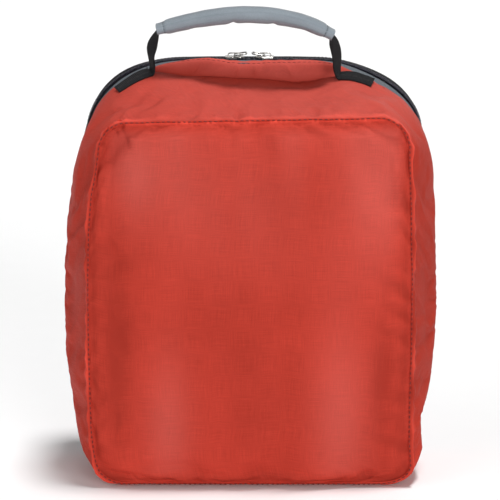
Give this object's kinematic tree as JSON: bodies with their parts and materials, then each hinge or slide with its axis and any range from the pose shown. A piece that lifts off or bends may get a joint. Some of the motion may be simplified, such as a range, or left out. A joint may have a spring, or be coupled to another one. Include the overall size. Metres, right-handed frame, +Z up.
{
  "type": "packing cube",
  "caption": "Soft upright packing cube with a plain front panel, a zip-round mesh lid at the back and a padded carry handle on top.",
  "frame": {"origin": "bottom centre of the whole object's box, on the surface the bag stands on", "axes": "+Z up, -Y towards the plain main panel, +Y towards the mesh lid, +X to the right when looking at the main panel"},
  "size_m": [0.2582, 0.1252, 0.3272],
  "materials": {
    "coral_taffeta": "plain-weave polyester taffeta with a soft sheen",
    "black_binding": "ribbed black binding tape",
    "black_mesh": "knitted black polyester mesh",
    "grey_zipper_tape": "woven grey zipper tape",
    "black_nylon_coil": "black nylon coil",
    "black_webbing": "narrow black polyester webbing",
    "grey_grip_fabric": "grey-blue coated grip fabric, stitched at both ends",
    "white_foam": "closed-cell foam",
    "nickel_plate": "bright nickel plate",
    "white_label": "blank woven satin label"
  },
  "bodies": {
    "bag": {"main_panel": "coral_taffeta", "side_gusset": "coral_taffeta", "base_gusset": "coral_taffeta", "hinge_strip": "coral_taffeta", "main_seam_binding": "black_binding", "care_label": "white_label", "zipper_tape_body": "grey_zipper_tape", "zipper_coil_body": "black_nylon_coil", "zipper_end_tab_left": "black_binding", "zipper_end_tab_right": "black_binding", "handle_tail_left": "black_webbing", "handle_tail_right": "black_webbing", "anchor_patch_left": "black_binding", "anchor_patch_right": "black_binding"},
    "lid": {"lid_edge_binding": "black_binding", "lid_border": "coral_taffeta", "lid_window_trim": "black_binding", "lid_mesh": "black_mesh", "zipper_tape_lid": "grey_zipper_tape", "zipper_coil_lid": "black_nylon_coil"},
    "handle": {"handle_webbing": "black_webbing", "handle_foam_core": "white_foam", "handle_grip_cover": "grey_grip_fabric"},
    "slider_left": {"slider_left": "nickel_plate"},
    "slider_right": {"slider_right": "nickel_plate"},
    "pull_left": {"pull_left": "nickel_plate"},
    "pull_right": {"pull_right": "nickel_plate"}
  },
  "joints": [
    {"name": "lid_hinge", "type": "hinge", "parent": "bag", "child": "lid", "pos_m": [0, 0.047, 0.004], "axis": [-1, 0, 0], "range_deg": [0, 175]},
    {"name": "handle_fold", "type": "hinge", "parent": "bag", "child": "handle", "pos_m": [-0.004, 0.001, 0.2887], "axis": [1, 0, 0], "range_deg": [-45, 95]},
    {"name": "slider_left_travel", "type": "slide", "parent": "bag", "child": "slider_left", "axis": [-1, 0, 0], "range_m": [0, 0.033]},
    {"name": "slider_right_travel", "type": "slide", "parent": "bag", "child": "slider_right", "axis": [1, 0, 0], "range_m": [0, 0.033]},
    {"name": "pull_left_swing", "type": "hinge", "parent": "slider_left", "child": "pull_left", "pos_m": [-0.0108, 0.031, 0.28905], "axis": [0, -1, 0], "range_deg": [-2, 164]},
    {"name": "pull_right_swing", "type": "hinge", "parent": "slider_right", "child": "pull_right", "pos_m": [0.01, 0.031, 0.28905], "axis": [0, 1, 0], "range_deg": [-2, 164]}
  ]
}
